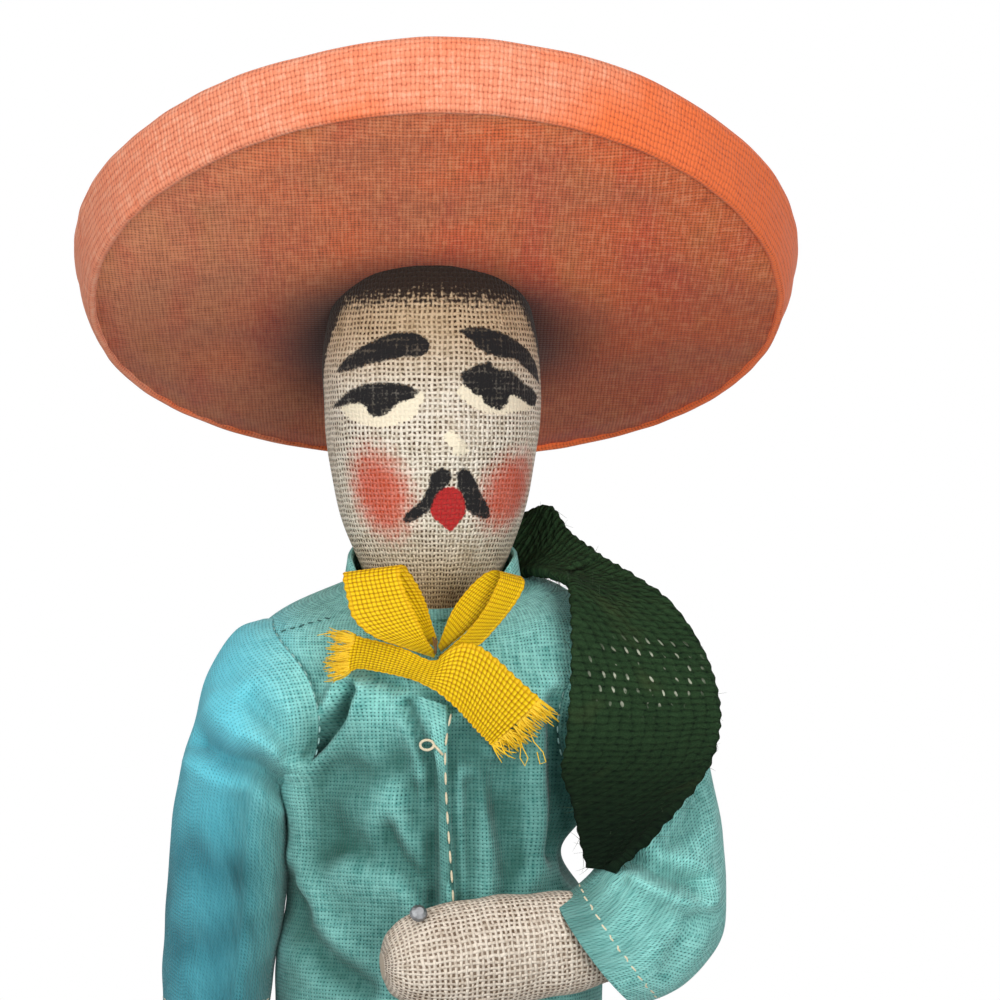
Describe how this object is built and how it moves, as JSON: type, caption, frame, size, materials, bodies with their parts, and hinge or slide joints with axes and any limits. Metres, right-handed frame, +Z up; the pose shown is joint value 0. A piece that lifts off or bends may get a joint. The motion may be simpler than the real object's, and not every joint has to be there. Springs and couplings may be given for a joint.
{
  "type": "cloth doll",
  "caption": "Standing stuffed cloth doll on a bendable wire armature, with gauze head and hands, wide upturned hat, shirt with ribbon bow, shoulder serape, trousers and sandals.",
  "frame": {"origin": "on the floor under the middle of the doll's outline", "axes": "+Z up, the doll faces -Y, its own left arm is on the +X side"},
  "size_m": [0.1044, 0.0946, 0.2588],
  "materials": {
    "gauze": "open-weave cotton gauze, matt",
    "wadding": "loose cotton wadding",
    "hat_cloth": "coarse coral cotton",
    "hat_lining": "faded rust cotton",
    "buckram": "stiffened cloth board",
    "shirt_cotton": "plain turquoise cotton",
    "ribbon": "woven yellow ribbon with a sheen",
    "green_wool": "thick fuzzy wool",
    "trouser_cotton": "dark maroon cotton",
    "leather": "plain brown leather",
    "steel": "bare steel",
    "thread": "cotton thread"
  },
  "bodies": {
    "torso": {"trunk": "wadding", "spine_wire": "steel", "shoulder_wire": "steel", "hip_wire": "steel", "shirt_back": "shirt_cotton", "shirt_front_right": "shirt_cotton", "shirt_front_left": "shirt_cotton", "shirt_collar": "shirt_cotton", "shirt_placket": "shirt_cotton", "placket_loop": "thread", "tie_knot": "ribbon", "tie_loop_right": "ribbon", "tie_loop_left": "ribbon", "tie_tail_right": "ribbon", "tie_tail_left": "ribbon", "tie_stitch": "leather", "serape": "green_wool"},
    "head": {"head_cover": "gauze", "head_wadding": "wadding", "hat_brim_board": "buckram", "hat_brim_lining": "hat_lining", "hat_brim_top": "hat_cloth", "hat_edge_band": "hat_cloth", "hat_crown": "hat_cloth"},
    "right_upper_arm": {"upper_arm_right": "gauze", "upper_arm_wire_right": "steel", "sleeve_right": "shirt_cotton"},
    "right_forearm": {"forearm_right": "gauze", "forearm_wire_right": "steel"},
    "left_upper_arm": {"upper_arm_left": "gauze", "upper_arm_wire_left": "steel", "sleeve_left": "shirt_cotton"},
    "left_forearm": {"forearm_left": "gauze", "forearm_wire_left": "steel", "hand_pin": "steel"},
    "right_thigh": {"thigh_right": "gauze", "thigh_wire_right": "steel", "trousers_right": "trouser_cotton"},
    "right_shin": {"shin_right": "gauze", "shin_wire_right": "steel", "foot_right": "gauze", "sole_right": "leather", "sandal_strap_right": "leather"},
    "left_thigh": {"thigh_left": "gauze", "thigh_wire_left": "steel", "trousers_left": "trouser_cotton"},
    "left_shin": {"shin_left": "gauze", "shin_wire_left": "steel", "foot_left": "gauze", "sole_left": "leather", "sandal_strap_left": "leather"}
  },
  "joints": [
    {"name": "neck_turn", "type": "hinge", "parent": "torso", "child": "head", "pos_m": [-0.00038, -0.00416, 0.176], "axis": [0, 0, 1], "range_deg": [-35, 35]},
    {"name": "right_shoulder", "type": "hinge", "parent": "torso", "child": "right_upper_arm", "pos_m": [-0.02818, -0.00616, 0.1625], "axis": [-1, 0, 0], "range_deg": [-40, 80]},
    {"name": "right_elbow", "type": "hinge", "parent": "right_upper_arm", "child": "right_forearm", "pos_m": [-0.03078, -0.00616, 0.13241], "axis": [-1, 0, 0], "range_deg": [0, 70], "deforming": ["sleeve_right"]},
    {"name": "left_shoulder", "type": "hinge", "parent": "torso", "child": "left_upper_arm", "pos_m": [0.02982, -0.00616, 0.1625], "axis": [-1, 0, 0], "range_deg": [0, 35], "deforming": ["serape"]},
    {"name": "left_elbow", "type": "hinge", "parent": "left_upper_arm", "child": "left_forearm", "pos_m": [0.03242, -0.02066, 0.13614], "axis": [0.1983, -0.8504, 0.4873], "range_deg": [0, 50], "deforming": ["sleeve_left"]},
    {"name": "right_hip", "type": "hinge", "parent": "torso", "child": "right_thigh", "pos_m": [-0.01078, -0.00416, 0.112], "axis": [-1, 0, 0], "range_deg": [-20, 55], "deforming": ["trousers_right"]},
    {"name": "right_knee", "type": "hinge", "parent": "right_thigh", "child": "right_shin", "pos_m": [-0.01078, -0.00416, 0.062], "axis": [1, 0, 0], "range_deg": [0, 65], "deforming": ["trousers_right"]},
    {"name": "left_hip", "type": "hinge", "parent": "torso", "child": "left_thigh", "pos_m": [0.01242, -0.00416, 0.112], "axis": [-1, 0, 0], "range_deg": [-20, 55], "deforming": ["trousers_left"]},
    {"name": "left_knee", "type": "hinge", "parent": "left_thigh", "child": "left_shin", "pos_m": [0.01242, -0.00416, 0.062], "axis": [1, 0, 0], "range_deg": [0, 65], "deforming": ["trousers_left"]}
  ]
}
